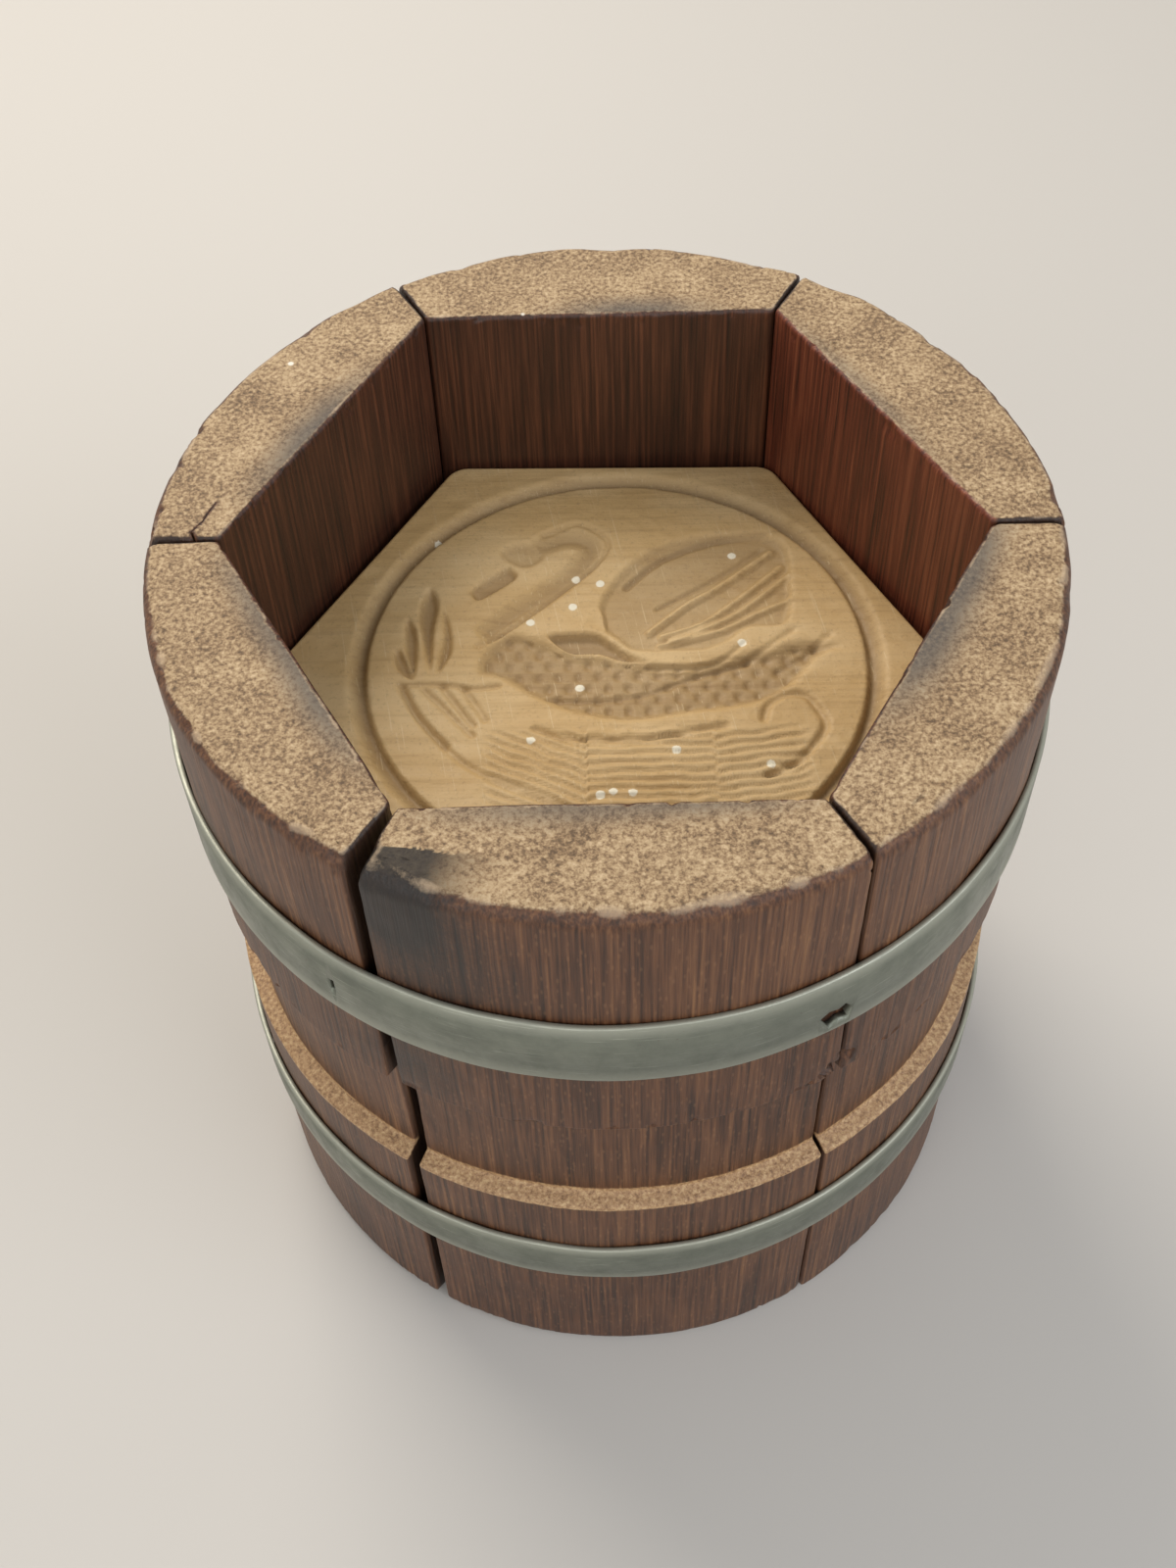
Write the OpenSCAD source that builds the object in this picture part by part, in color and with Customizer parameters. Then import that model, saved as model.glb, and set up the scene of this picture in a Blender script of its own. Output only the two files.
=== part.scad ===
// Coopered butter mould: six staves in two sheet-iron hoops, with a loose hexagonal stamp
// on a turned handle that presses the pat of butter out through the open top.
// The front of the mould faces -Y, the base stands on z = 0, and the axis is Z.

/* [Mould body] */
// Height of the mould, from its base to the rim
mould_h = 145; // [130:1:165]
// Outside diameter over the two raised bands of the staves
mould_d = 136; // [130:1:146]
// Width of the hexagonal hollow across its flats, above the stamp
hollow_af = 98.5; // [92:0.5:102]
// Depth of the butter space, from the rim to the face of the stamp
butter_depth = 32.4; // [24:0.2:36]
// Width of the shoulder inside each stave that the stamp rests on
shoulder_w = 7; // [4:0.5:9]
// Radius of the worn outer edge of the rim
rim_round = 2.4; // [1:0.2:3]
// Radius of the outer edge of the base
base_round = 1.6; // [0.6:0.2:3]

/* [Turned waist] */
// Distance from the rim to the lip of the upper band
waist_top = 58; // [50:0.5:62]
// Distance from the rim to the pale ledge above the lower band
waist_bottom = 85.2; // [80:0.5:92]
// Depth of the turned waist below the bands
waist_depth = 2.7; // [1:0.1:4]
// Height of the sloping ledge at the foot of the waist
ledge_h = 1.5; // [0.5:0.1:3]

/* [Hoops] */
// Thickness of the sheet iron
sheet_t = 1.0; // [0.6:0.1:1.4]
// Distance from the rim to the upper hoop
upper_hoop_drop = 25.8; // [20:0.2:30]
// Width of the upper hoop
upper_hoop_w = 14.7; // [12:0.1:18]
// Distance from the rim to the lower hoop
lower_hoop_drop = 101.1; // [96:0.2:110]
// Width of the lower hoop
lower_hoop_w = 11.2; // [9:0.1:14]
// Length of the riveted lap
lap_len = 15; // [11:0.5:20]
// Radius of a rivet's head
rivet_head_r = 2.4; // [1.8:0.1:2.6]
// Radius of a tack's head
tack_head_r = 1.9; // [1.4:0.1:2.4]

/* [Stamp] */
// Width of the stamp across its flats
stamp_af = 96; // [88:0.5:96]
// Thickness of the stamp
stamp_t = 17; // [13:0.5:20]
// Radius of the stamp's worn corners
stamp_corner = 4; // [3:0.5:6]
// Turn of the loose stamp in its hollow, in degrees
stamp_turn = -1.5; // [-1.5:0.1:1.5]
// Sideways place of the loose stamp in its hollow
stamp_shift = 0.3; // [0:0.05:0.3]
// Inner radius of the ring groove round the carving
ring_r = 39.5; // [34:0.5:40]
// Width of the ring groove
ring_w = 3.8; // [2:0.1:4]
// Depth of the carving
carve_depth = 1.6; // [0.8:0.1:2.5]

/* [Handle] */
// Radius of the handle's knob
knob_r = 19; // [15:0.5:22]
// Radius of the handle's waist
grip_r = 9.5; // [8:0.5:12]
// Height of the knob's end above the base
knob_lift = 12; // [8:0.5:20]
// Radius of the tenon that fits the stamp
tenon_r = 8; // [6:0.5:9]
// Length of the tenon
tenon_len = 10; // [8:0.5:11]

/* [Hidden] */

stave_colour = [0.42, 0.27, 0.19];
iron_colour = [0.49, 0.51, 0.46];
stamp_colour = [0.71, 0.58, 0.39];
handle_colour = [0.60, 0.45, 0.30];

// The seams run round from front left, the first one -120 degrees from +X, and each
// stave lies between its own seam and the next. The front left joint has opened up.
first_seam = -120;
seam_gap_in = [0.9, 0.2, 0.2, 0.2, 0.2, 0.3];
seam_gap_out = [2.2, 0.6, 0.4, 0.5, 0.6, 0.7];

mould_r = mould_d / 2;
corner_r = hollow_af / 2 / cos(30);
stamp_top = mould_h - butter_depth;
shoulder_z = stamp_top - stamp_t;
foot_af = hollow_af - 2 * shoulder_w;
upper_hoop_z = mould_h - upper_hoop_drop - upper_hoop_w;
lower_hoop_z = mould_h - lower_hoop_drop - lower_hoop_w;
past = 5;

// The laps are at the back, where two rivets close each hoop
lap_angle = 139;
lap_span = lap_len / (mould_r + sheet_t) * 180 / PI;
rivet_r = 1.3;
rivet_head_h = 0.9;
rivet_fit = 0.02;
upper_rivet_pitch = 7;
lower_rivet_pitch = 7.5;

// Each hoop is tacked to three of the back staves; the front tacks are long lost
tack_angles = [18, 72, 162];
tack_r = 0.7;
tack_len = 9;
tack_head_h = 0.7;

// An empty nail slot and a torn nail hole are left in the front of the upper hoop,
// each given by its angle round the mould and its height on the hoop
slot_angle = -126;
slot_rise = 6.2;
slot_size = [1.1, 3.0];
tear_angle = -63;
tear_rise = 3.8;
tear_outline = [[-2.6, 1.2], [-1.2, 2.4], [0.4, 2.0], [1.5, 2.7], [2.8, 0.9],
    [1.9, -0.6], [2.3, -1.7], [0.6, -1.2], [-0.9, -2.3], [-1.7, -0.7]];

// Points of a round edge, as an arc of radius r about c, from angle a to angle b
edge_steps = 5;
function edge_arc(c, r, a, b) =
    [for (i = [0 : edge_steps]) c + r * [cos(a + (b - a) * i / edge_steps), sin(a + (b - a) * i / edge_steps)]];

// A smooth closed outline through a ring of points, as a Catmull-Rom spline
function spline_at(a, b, c, d, t) =
    0.5 * (2 * b + (c - a) * t + (2 * a - 5 * b + 4 * c - d) * t * t
    + (3 * b - a - 3 * c + d) * t * t * t);
function closed_spline(p, steps) = let (n = len(p))
    [for (i = [0 : n - 1], j = [0 : steps - 1])
        spline_at(p[(i + n - 1) % n], p[i], p[(i + 1) % n], p[(i + 2) % n], j / steps)];

// The outside of the mould as turned on the lathe
module turned_outside() {
    lip_z = mould_h - waist_top;
    floor_z = mould_h - waist_bottom;
    waist_r = mould_r - waist_depth;
    rotate_extrude($fn = 180)
        polygon(concat(
            [[0, 0]],
            edge_arc([mould_r - base_round, base_round], base_round, -90, 0),
            [[mould_r, floor_z - ledge_h], [waist_r, floor_z], [waist_r, lip_z], [mould_r, lip_z]],
            edge_arc([mould_r - rim_round, mould_h - rim_round], rim_round, 0, 90),
            [[0, mould_h]]));
}

// A hexagonal prism with flats facing -Y and +Y
module hexagon(af, z, h) {
    translate([0, 0, z]) cylinder(r = af / 2 / cos(30), h = h, $fn = 6);
}

// The wedge between seam i and the next, with each side set back by half its gap
module wedge(i) {
    half = 30;
    near = corner_r - 25;
    far = mould_r + 12;
    grade_a = (seam_gap_out[i] - seam_gap_in[i]) / 2 / (mould_r - corner_r);
    grade_b = (seam_gap_out[(i + 1) % 6] - seam_gap_in[(i + 1) % 6]) / 2 / (mould_r - corner_r);
    back_a = function (r) max(0, seam_gap_in[i] / 2 + grade_a * (r - corner_r));
    back_b = function (r) max(0, seam_gap_in[(i + 1) % 6] / 2 + grade_b * (r - corner_r));
    side_a = function (r) r * [cos(half), -sin(half)] + back_a(r) * [sin(half), cos(half)];
    side_b = function (r) r * [cos(half), sin(half)] + back_b(r) * [sin(half), -cos(half)];
    rotate([0, 0, first_seam + half + 60 * i]) translate([0, 0, -past])
        linear_extrude(height = mould_h + 2 * past)
            polygon([side_a(near), side_a(corner_r), side_a(far), side_b(far), side_b(corner_r), side_b(near)]);
}

module tack_holes(z) {
    for (a = tack_angles) rotate([0, 0, a]) translate([mould_r - tack_len, 0, z]) rotate([0, 90, 0])
        cylinder(r = tack_r + rivet_fit, h = tack_len + 3 * sheet_t, $fn = 24);
}

// One stave: a wedge of the turned outside, flat inside, rebated where the stamp rests
module stave(i) {
    color(stave_colour) difference() {
        intersection() {
            turned_outside();
            wedge(i);
        }
        hexagon(foot_af, -past, shoulder_z + 2 * past);
        hexagon(hollow_af, shoulder_z, mould_h);
        tack_holes(upper_hoop_z + upper_hoop_w / 2);
        tack_holes(lower_hoop_z + lower_hoop_w / 2);
    }
}

module stave_front() { stave(0); }
module stave_front_right() { stave(1); }
module stave_back_right() { stave(2); }
module stave_back() { stave(3); }
module stave_back_left() { stave(4); }
module stave_front_left() { stave(5); }

// The lapped end of a hoop, a second thickness of sheet that starts inside the first
module lapped_end(z, w) {
    rotate([0, 0, lap_angle]) translate([0, 0, z]) rotate_extrude(angle = lap_span, $fn = 180)
        translate([mould_r + sheet_t / 2, 0]) square([sheet_t * 1.5, w]);
}

module at_radius(a, r, z) {
    rotate([0, 0, a]) translate([r, 0, z]) rotate([0, 90, 0]) children();
}

// A hoop of sheet iron: one turn round the staves, and the riveted end lapped over it
module hoop(z, w) {
    color(iron_colour) difference() {
        union() {
            translate([0, 0, z]) rotate_extrude($fn = 180) translate([mould_r, 0]) square([sheet_t, w]);
            lapped_end(z, w);
        }
        tack_holes(z + w / 2);
        children();
    }
}

// Where the two rivets of a lap stand, as angle and height
function upper_rivets() = [for (s = [-1, 1])
    [lap_angle + lap_span / 2, upper_hoop_z + upper_hoop_w / 2 + s * upper_rivet_pitch / 2]];
function lower_rivets() = [for (s = [-1, 1])
    [lap_angle + lap_span / 2 + s * lower_rivet_pitch / 2 / mould_r * 180 / PI, lower_hoop_z + lower_hoop_w / 2]];

module rivet_holes(places) {
    for (p = places) at_radius(p[0], mould_r - past, p[1])
        cylinder(r = rivet_r + rivet_fit, h = 2 * past, $fn = 32);
}

module hoop_upper() {
    hoop(upper_hoop_z, upper_hoop_w) {
        rivet_holes(upper_rivets());
        at_radius(slot_angle, mould_r - past, upper_hoop_z + slot_rise)
            translate([-slot_size[1] / 2, -slot_size[0] / 2, 0]) cube([slot_size[1], slot_size[0], 2 * past]);
        at_radius(tear_angle, mould_r - past, upper_hoop_z + tear_rise)
            linear_extrude(height = 2 * past) polygon(tear_outline);
    }
}

module hoop_lower() {
    hoop(lower_hoop_z, lower_hoop_w) rivet_holes(lower_rivets());
}

// Flush inside the hoop, with a low domed head outside
module rivets(places) {
    color(iron_colour) for (p = places) at_radius(p[0], mould_r, p[1])
        rotate_extrude($fn = 48) polygon([
            [0, 0], [rivet_r, 0], [rivet_r, 2 * sheet_t], [rivet_head_r, 2 * sheet_t],
            [rivet_head_r * 0.96, 2 * sheet_t + rivet_head_h * 0.4],
            [rivet_head_r * 0.7, 2 * sheet_t + rivet_head_h * 0.85],
            [rivet_head_r * 0.3, 2 * sheet_t + rivet_head_h], [0, 2 * sheet_t + rivet_head_h]]);
}

module hoop_upper_rivets() { rivets(upper_rivets()); }
module hoop_lower_rivets() { rivets(lower_rivets()); }

module tacks(z) {
    point_len = 2;
    color(iron_colour) for (a = tack_angles) at_radius(a, mould_r - tack_len, z)
        rotate_extrude($fn = 32) polygon([
            [0, 0], [tack_r, point_len], [tack_r, tack_len + sheet_t], [tack_head_r, tack_len + sheet_t],
            [tack_head_r * 0.75, tack_len + sheet_t + tack_head_h],
            [0, tack_len + sheet_t + tack_head_h]]);
}

module hoop_upper_tacks() { tacks(upper_hoop_z + upper_hoop_w / 2); }
module hoop_lower_tacks() { tacks(lower_hoop_z + lower_hoop_w / 2); }

// Outlines of the carved swan, in millimetres on the face of the stamp. It swims to the
// left with its neck drawn back in an S and its wing raised.
ring_centre = [1.5, 1.5];
swan_body = [[-19, 7], [-17, -1], [-9, -6.5], [2, -9.5], [14, -9], [25, -6], [34, -1],
    [38, 5], [31, 8], [22, 5.5], [13, 3.5], [6, 5], [0, 9], [-7, 14], [-14, 12]];
swan_neck = [[-21, 19], [-17, 22.5], [-16.5, 29], [-13, 33], [-8, 33.5], [-4, 36], [0.5, 35], [2.5, 30.5],
    [1.5, 25.5], [-3, 19.5], [-6.5, 14.5], [-13.5, 12.5], [-9.5, 17.5], [-4.5, 23], [-2.5, 28], [-3.8, 31],
    [-7.5, 28.5], [-11.5, 25.5], [-15.5, 21.5]];
swan_wing = [[0, 12.5], [1.5, 20], [6, 27.5], [13, 32.5], [21, 34], [28, 33], [33, 28], [33, 22],
    [32, 16.5], [26, 11.5], [19, 7], [11, 5.5], [5, 8]];
leaf_lobe = [[-27, 0.5], [-29.3, 8], [-29, 15], [-28, 20.5], [-25.8, 15], [-24.6, 8]];
spline_steps = 4;

// Feather ribs stand up inside the sunk wing, and water lines run below the body
feather_count = 6;
feather_pitch = 3.6;
feather_w = 1.1;
feather_slope = 36;
feather_start = [6, 9];
feather_len = 31;
water_rows = [[-26, 26, -13], [-24, 25, -17.5], [-20, 22, -22], [-16, 19, -26.5], [-11, 15, -31]];
water_w = 1.3;

module sunk(depth) {
    translate([0, 0, stamp_top - depth]) linear_extrude(height = depth + past) children();
}

module carving() {
    translate([ring_centre[0], ring_centre[1], stamp_top]) rotate_extrude($fn = 120)
        polygon([[ring_r, 1], [ring_r, -0.3], [ring_r + ring_w * 0.35, -carve_depth],
            [ring_r + ring_w * 0.65, -carve_depth], [ring_r + ring_w, -0.3], [ring_r + ring_w, 1]]);
    sunk(carve_depth) polygon(closed_spline(swan_body, spline_steps));
    sunk(carve_depth * 0.8) polygon(closed_spline(swan_neck, spline_steps));
    sunk(carve_depth * 0.9) polygon(closed_spline(leaf_lobe, spline_steps));
    difference() {
        sunk(carve_depth * 0.7) polygon(closed_spline(swan_wing, spline_steps));
        for (i = [0 : feather_count - 1])
            translate([feather_start[0], feather_start[1] + i * feather_pitch, stamp_top - carve_depth])
                rotate([0, 0, feather_slope]) cube([feather_len, feather_w, carve_depth]);
    }
    for (row = water_rows) translate([row[0], row[2], stamp_top - carve_depth * 0.4])
        cube([row[1] - row[0], water_w, carve_depth]);
}

// The stamp: a hexagonal board with worn corners, the carving on its face and a blind
// socket for the handle in its back
module stamp_plate() {
    inset_r = (stamp_af / 2 - stamp_corner) / cos(30);
    color(stamp_colour) translate([stamp_shift, 0, 0]) rotate([0, 0, stamp_turn]) difference() {
        union() {
            for (a = [0 : 60 : 300]) rotate([0, 0, a]) translate([inset_r, 0, shoulder_z])
                cylinder(r = stamp_corner, h = stamp_t, $fn = 48);
            translate([0, 0, shoulder_z]) linear_extrude(height = stamp_t)
                polygon([for (k = [0 : 5], s = [-30, 30])
                    inset_r * [cos(60 * k), sin(60 * k)] + stamp_corner * [cos(60 * k + s), sin(60 * k + s)]]);
        }
        carving();
        translate([0, 0, shoulder_z - past]) cylinder(r = tenon_r + rivet_fit, h = tenon_len + past, $fn = 64);
    }
}

// The turned handle: knob, waist, collar under the stamp and threaded tenon
module stamp_handle() {
    collar_r = 16;
    collar_h = 7;
    knob_h = 26;
    color(handle_colour) translate([stamp_shift, 0, 0]) rotate_extrude($fn = 96) polygon(concat(
        [[0, knob_lift]],
        [for (i = [0 : 10]) let (a = -70 + 130 * i / 10)
            [knob_r * cos(a), knob_lift + knob_h / 2 * (1 + sin(a) / sin(70))]],
        [for (i = [1 : 6]) let (s = i / 6)
            [grip_r + (knob_r * cos(60) - grip_r) * (1 - s) * (1 - s),
             knob_lift + knob_h + s * 22]],
        [[grip_r, shoulder_z - collar_h - 8], [grip_r + 1.4, shoulder_z - collar_h - 3],
         [collar_r - 2.5, shoulder_z - collar_h], [collar_r, shoulder_z - collar_h + 2],
         [collar_r, shoulder_z - 1.5], [collar_r - 1.5, shoulder_z],
         [tenon_r, shoulder_z], [tenon_r, shoulder_z + tenon_len - 1.5],
         [tenon_r - 1, shoulder_z + tenon_len - 0.5], [0, shoulder_z + tenon_len - 0.5]]));
}

stave_front();
stave_front_right();
stave_back_right();
stave_back();
stave_back_left();
stave_front_left();
hoop_upper();
hoop_lower();
hoop_upper_rivets();
hoop_lower_rivets();
hoop_upper_tacks();
hoop_lower_tacks();
stamp_plate();
stamp_handle();
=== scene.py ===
"""Looks of a coopered butter mould: six worn beech staves, two sheet-iron hoops, a loose
hexagonal stamp carved with a swan, and its turned handle. Shapes are worked out in
millimetres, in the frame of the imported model, and turned to metres when a mesh is made."""

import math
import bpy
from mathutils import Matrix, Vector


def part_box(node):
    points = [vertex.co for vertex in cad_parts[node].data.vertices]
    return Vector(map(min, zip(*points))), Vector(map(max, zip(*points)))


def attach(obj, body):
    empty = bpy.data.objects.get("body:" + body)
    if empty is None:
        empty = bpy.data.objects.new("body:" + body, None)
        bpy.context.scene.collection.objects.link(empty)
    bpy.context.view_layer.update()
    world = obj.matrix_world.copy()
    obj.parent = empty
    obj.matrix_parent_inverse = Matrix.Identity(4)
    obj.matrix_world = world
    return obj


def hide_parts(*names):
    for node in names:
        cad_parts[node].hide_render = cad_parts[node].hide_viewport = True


bl_info = {
    "name": "Coopered butter mould",
    "version": (1, 0, 0),
    "blender": (4, 5, 0),
    "location": "View3D > Sidebar > Butter mould",
    "description": "Models the worn staves, hoops, carved stamp and handle of a butter mould",
    "category": "Object",
}

import bmesh
import bpy
import numpy as np
from mathutils import Matrix, Vector

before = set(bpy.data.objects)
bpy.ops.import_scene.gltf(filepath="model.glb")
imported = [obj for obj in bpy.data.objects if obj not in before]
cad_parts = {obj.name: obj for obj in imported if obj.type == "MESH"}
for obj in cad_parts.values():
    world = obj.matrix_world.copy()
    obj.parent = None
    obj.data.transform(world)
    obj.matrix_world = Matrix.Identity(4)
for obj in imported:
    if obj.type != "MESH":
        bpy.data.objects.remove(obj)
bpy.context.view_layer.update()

MM = 0.001

# Sizes that the frame gives, in millimetres
front_low, front_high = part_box("stave_front")
plate_low, plate_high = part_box("stamp_plate")
hoop_boxes = {name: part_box(name) for name in ("hoop_upper", "hoop_lower")}
handle_low, handle_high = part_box("stamp_handle")
MOULD_R = -front_low.y / MM
MOULD_H = front_high.z / MM
FOOT_APOTHEM = -front_high.y / MM
STAMP_TOP = plate_high.z / MM
SHOULDER_Z = plate_low.z / MM
SHEET = hoop_boxes["hoop_upper"][1].x / MM - MOULD_R

# Sizes that repeat the model's own, in millimetres and degrees
SHOULDER_W = 7.0
HOLLOW_APOTHEM = FOOT_APOTHEM + SHOULDER_W
LIP_Z = MOULD_H - 58.0
WAIST_FLOOR_Z = MOULD_H - 85.2
LEDGE_H = 1.5
WAIST_DEPTH = 2.7
LAP_ANGLE = 139.0
LAP_LENGTH = 15.0
TACK_ANGLES = (18.0, 72.0, 162.0)
STAMP_AF = 96.0
STAMP_CORNER = 4.0
STAMP_TURN = -1.5
STAMP_SHIFT = 0.3

# Each stave by the direction of its middle, in degrees from +X, with the gaps of its two
# joints at the inner corner and at the outside, and the number that its looks start from
STAVES = {
    "stave_front": (-90, (0.9, 2.2), (0.2, 0.6), 11),
    "stave_front_right": (-30, (0.2, 0.6), (0.2, 0.4), 12),
    "stave_back_right": (30, (0.2, 0.4), (0.2, 0.5), 13),
    "stave_back": (90, (0.2, 0.5), (0.2, 0.6), 14),
    "stave_back_left": (150, (0.2, 0.6), (0.3, 0.7), 15),
    "stave_front_left": (-150, (0.3, 0.7), (0.9, 2.2), 16),
}
HALF_STAVE = math.radians(30)


def linear(hex_colour, alpha=1.0):
    """An sRGB hex value as linear red, green, blue and alpha."""
    channels = [int(hex_colour[i : i + 2], 16) / 255 for i in (1, 3, 5)]
    return tuple(c / 12.92 if c <= 0.04045 else ((c + 0.055) / 1.055) ** 2.4 for c in channels) + (alpha,)


def smooth(low, high, x):
    """0 below low, 1 above high, and a smooth S between them."""
    t = np.clip((x - low) / (high - low), 0, 1)
    return t * t * (3 - 2 * t)


def drift(points, wavelength, seed, waves=18):
    """Smooth noise of unit spread: cosine waves of random direction and phase, with
    wavelengths near the one given, added up."""
    random = np.random.default_rng(seed)
    aim = random.normal(size=(waves, points.shape[-1]))
    aim *= (2 * np.pi / wavelength * random.uniform(0.6, 1.7, waves) / np.linalg.norm(aim, axis=1))[:, None]
    phase = random.uniform(0, 2 * np.pi, waves)
    return np.cos(points @ aim.T + phase).sum(-1) * math.sqrt(2 / waves)


def closed_grid(rows, columns):
    """Corner numbers of the quads of a grid whose last column joins its first."""
    start = np.arange(rows - 1)[:, None] * columns
    here = np.arange(columns)
    after = (here + 1) % columns
    return np.stack([start + here, start + after, start + columns + after, start + columns + here], -1).reshape(-1, 4)


def outward(points, quads):
    """The quads, turned over if the volume that they enclose comes out negative: the sum
    of each quad's cross product of diagonals against its middle."""
    corners = points[quads]
    area = np.cross(corners[:, 2] - corners[:, 0], corners[:, 3] - corners[:, 1])
    return quads if (area * corners.mean(1)).sum() > 0 else quads[:, ::-1]


def make_piece(name, points, quads, masks=None, merge=0.004):
    """A mesh object from points in millimetres and quads, with one float attribute for
    each mask, its doubled points merged and its empty faces removed."""
    mesh = bpy.data.meshes.new(name)
    quads = outward(points, quads)
    mesh.vertices.add(len(points))
    mesh.vertices.foreach_set("co", (points * MM).astype(np.float32).ravel())
    mesh.loops.add(quads.size)
    mesh.loops.foreach_set("vertex_index", quads.astype(np.int32).ravel())
    mesh.polygons.add(len(quads))
    mesh.polygons.foreach_set("loop_start", np.arange(0, quads.size, 4, dtype=np.int32))
    mesh.update(calc_edges=True)
    for key, values in (masks or {}).items():
        mesh.attributes.new(key, "FLOAT", "POINT").data.foreach_set("value", values.astype(np.float32).ravel())
    shape = bmesh.new()
    shape.from_mesh(mesh)
    bmesh.ops.remove_doubles(shape, verts=shape.verts, dist=merge * MM)
    bmesh.ops.dissolve_degenerate(shape, edges=shape.edges, dist=merge * MM / 4)
    shape.to_mesh(mesh)
    shape.free()
    mesh.shade_smooth()
    piece = bpy.data.objects.new(name, mesh)
    bpy.context.scene.collection.objects.link(piece)
    return piece


def cut_out(piece, cutters):
    """Cuts each closed cutter out of a piece, and removes the cutters."""
    for cutter in cutters:
        tool = piece.modifiers.new("cut", "BOOLEAN")
        tool.operation = "DIFFERENCE"
        tool.solver = "EXACT"
        tool.object = cutter
    bpy.context.view_layer.update()
    shown = piece.evaluated_get(bpy.context.evaluated_depsgraph_get())
    mesh = bpy.data.meshes.new_from_object(shown)
    piece.modifiers.clear()
    old = piece.data
    piece.data = mesh
    bpy.data.meshes.remove(old)
    for cutter in cutters:
        bpy.data.objects.remove(cutter)
    return piece


def dress(piece, material, body, slot, *nodes):
    """Gives a piece its material and body, and hides the model's nodes it stands for. The slot that it is passed is not
    used.
    """
    piece.data.materials.clear()
    piece.data.materials.append(material)
    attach(piece, body)
    if nodes:
        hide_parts(*nodes)


def add(tree, kind, inputs=None, out=0, ramp=None, **settings):
    """Adds a node with its settings, its colour ramp if it has one, and its inputs, each a
    value or the socket that it is linked from. Gives back the output asked for, or the
    node where out is None."""
    node = tree.nodes.new(kind)
    for key, value in settings.items():
        setattr(node, key, value)
    if ramp:
        elements = node.color_ramp.elements
        while len(elements) < len(ramp):
            elements.new(0.5)
        for element, (position, colour) in zip(elements, ramp):
            element.position = position
            element.color = linear(colour)
    for key, value in (inputs or {}).items():
        if isinstance(value, bpy.types.NodeSocket):
            tree.links.new(value, node.inputs[key])
        else:
            node.inputs[key].default_value = value
    return node if out is None else node.outputs[out]


def start_material(name):
    """A new material with an empty node tree, and Object coordinates in millimetres."""
    material = bpy.data.materials.new(name)
    material.use_nodes = True
    tree = material.node_tree
    tree.nodes.clear()
    place = add(tree, "ShaderNodeTexCoord", out="Object")
    mm = add(tree, "ShaderNodeMapping", {"Vector": place, "Scale": (1 / MM, 1 / MM, 1 / MM)})
    return material, tree, mm


def grown(tree, mm, across, along, detail=3.0, roughness=0.6):
    """Noise with grains of these sizes in millimetres, across and along the Z axis."""
    stretched = add(tree, "ShaderNodeVectorMath", {0: mm, 1: (1 / across, 1 / across, 1 / along)}, operation="MULTIPLY")
    return add(tree, "ShaderNodeTexNoise", {
        "Vector": stretched, "Scale": 1.0, "Detail": detail, "Roughness": roughness})


def layered(tree, colour, layers):
    """Lays colours over a first one, each by its own mask, range of the mask and strength."""
    for mask, low, high, strength, tint in layers:
        share = add(tree, "ShaderNodeMapRange", {0: mask, 1: low, 2: high, 3: 0.0, 4: strength})
        tint = linear(tint) if isinstance(tint, str) else tint
        colour = add(tree, "ShaderNodeMix", {0: share, 6: colour, 7: tint}, out=2, data_type="RGBA")
    return colour


def finish_material(tree, colour, rough, height, depth, **constants):
    """Ends a material: its colour, roughness, bump of a depth in millimetres, and constants."""
    bump = add(tree, "ShaderNodeBump", {"Height": height, "Strength": 0.8, "Distance": depth * MM})
    shader = add(tree, "ShaderNodeBsdfPrincipled", {
        "Base Color": colour, "Roughness": rough, "Normal": bump, **constants})
    add(tree, "ShaderNodeOutputMaterial", {"Surface": shader}, out=None)


# The stave's section, looking down with its middle on +X
ARC_COLUMNS = 108
JOINT_COLUMNS = 12


def joint_side(gaps, radius):
    """How far a stave's side is set back from the joint's middle plane, at a radius."""
    corner = HOLLOW_APOTHEM / math.cos(HALF_STAVE)
    inner, outer = gaps
    return (inner + (outer - inner) * (radius - corner) / (MOULD_R - corner)) / 2


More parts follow.
